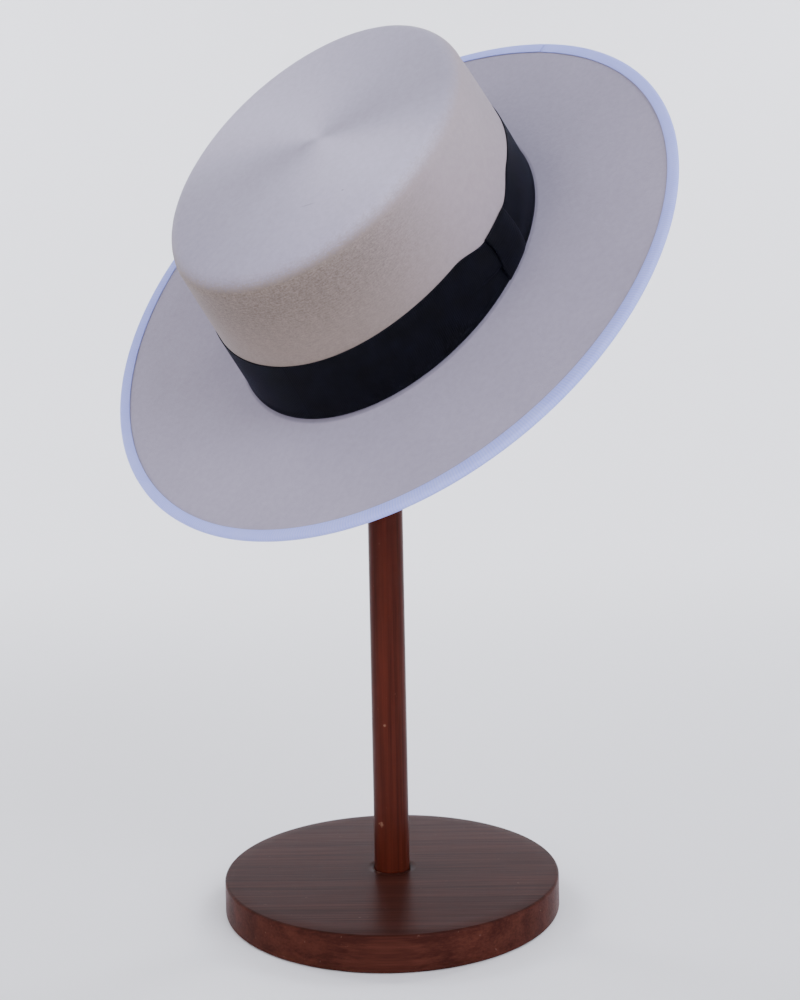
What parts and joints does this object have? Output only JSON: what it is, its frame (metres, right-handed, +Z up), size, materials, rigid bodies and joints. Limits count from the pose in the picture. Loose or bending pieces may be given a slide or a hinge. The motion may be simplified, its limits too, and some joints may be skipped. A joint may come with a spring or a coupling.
{
  "type": "spanish riding hat on a wooden display stand",
  "caption": "Flat-crowned felt riding hat with a wide stiff brim, ribbon band and bound edge, hung aslant on the post of a round wooden stand.",
  "frame": {"origin": "centre of the flat underside of the stand's base", "axes": "+Z up along the post; -Y towards the side that the picture shows, where the crown's flat tip leans"},
  "size_m": [0.2991, 0.2548, 0.4884],
  "materials": {
    "felt": "brushed light grey-cream fur felt with a short nap",
    "band_ribbon": "black ribbed ribbon, faintly lustrous",
    "binding_ribbon": "bluish white ribbed ribbon, matt",
    "stained_wood": "dark red-brown stain under a satin varnish"
  },
  "bodies": {
    "root": {"felt_body": "felt", "hat_band": "band_ribbon", "band_knot": "band_ribbon", "edge_binding": "binding_ribbon", "stand_post": "stained_wood", "stand_base": "stained_wood"}
  },
  "joints": []
}
